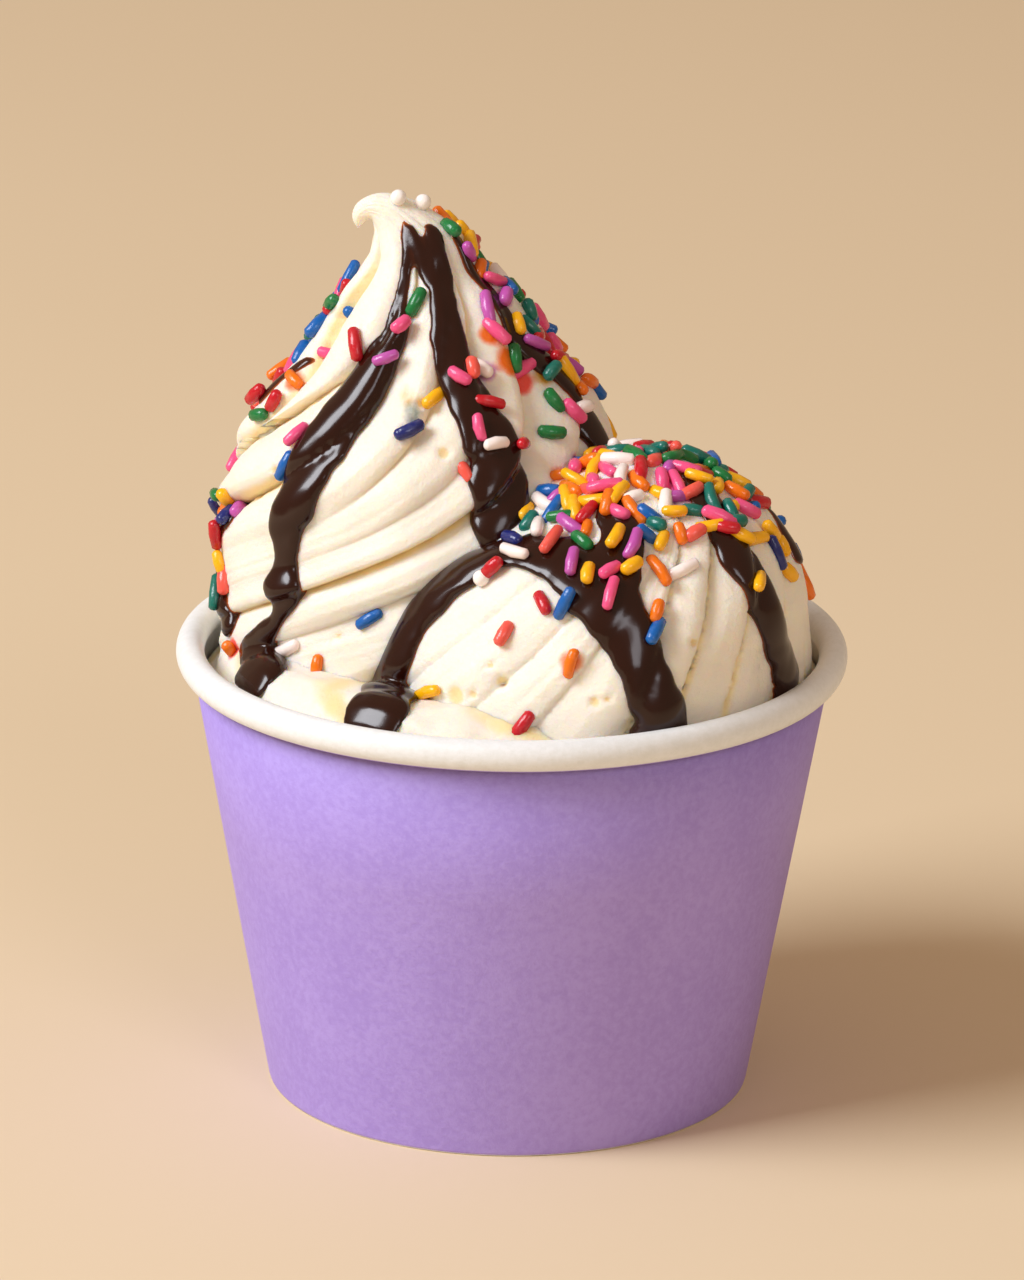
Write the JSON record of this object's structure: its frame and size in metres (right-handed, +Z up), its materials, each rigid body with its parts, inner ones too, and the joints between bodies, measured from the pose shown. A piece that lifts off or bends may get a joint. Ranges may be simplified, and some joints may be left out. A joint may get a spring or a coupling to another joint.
{
  "type": "ice cream cup",
  "caption": "Paper cup of vanilla soft serve: a tall twisted swirl with a hooked tip and a lower mound on its front, under chocolate sauce and sugar sprinkles.",
  "frame": {"origin": "on the table, at the centre of the bounding box of the underside, which is the axis of the cup", "axes": "+Z up the axis of the cup; the front, where the lower mound stands, faces -Y"},
  "size_m": [0.0946, 0.0946, 0.1278],
  "materials": {
    "cup_paper": "lilac printed paperboard outside, white inside and on the rolled rim",
    "base_paper": "white coated paperboard",
    "ice_cream": "vanilla soft serve, moist and softly translucent",
    "sauce": "thick dark chocolate sauce, glossy",
    "sprinkles": "sugar sprinkles in mixed bright colours"
  },
  "bodies": {
    "root": {"cup_wall": "cup_paper", "cup_base": "base_paper", "tall_swirl": "ice_cream", "front_mound": "ice_cream"}
  },
  "joints": []
}
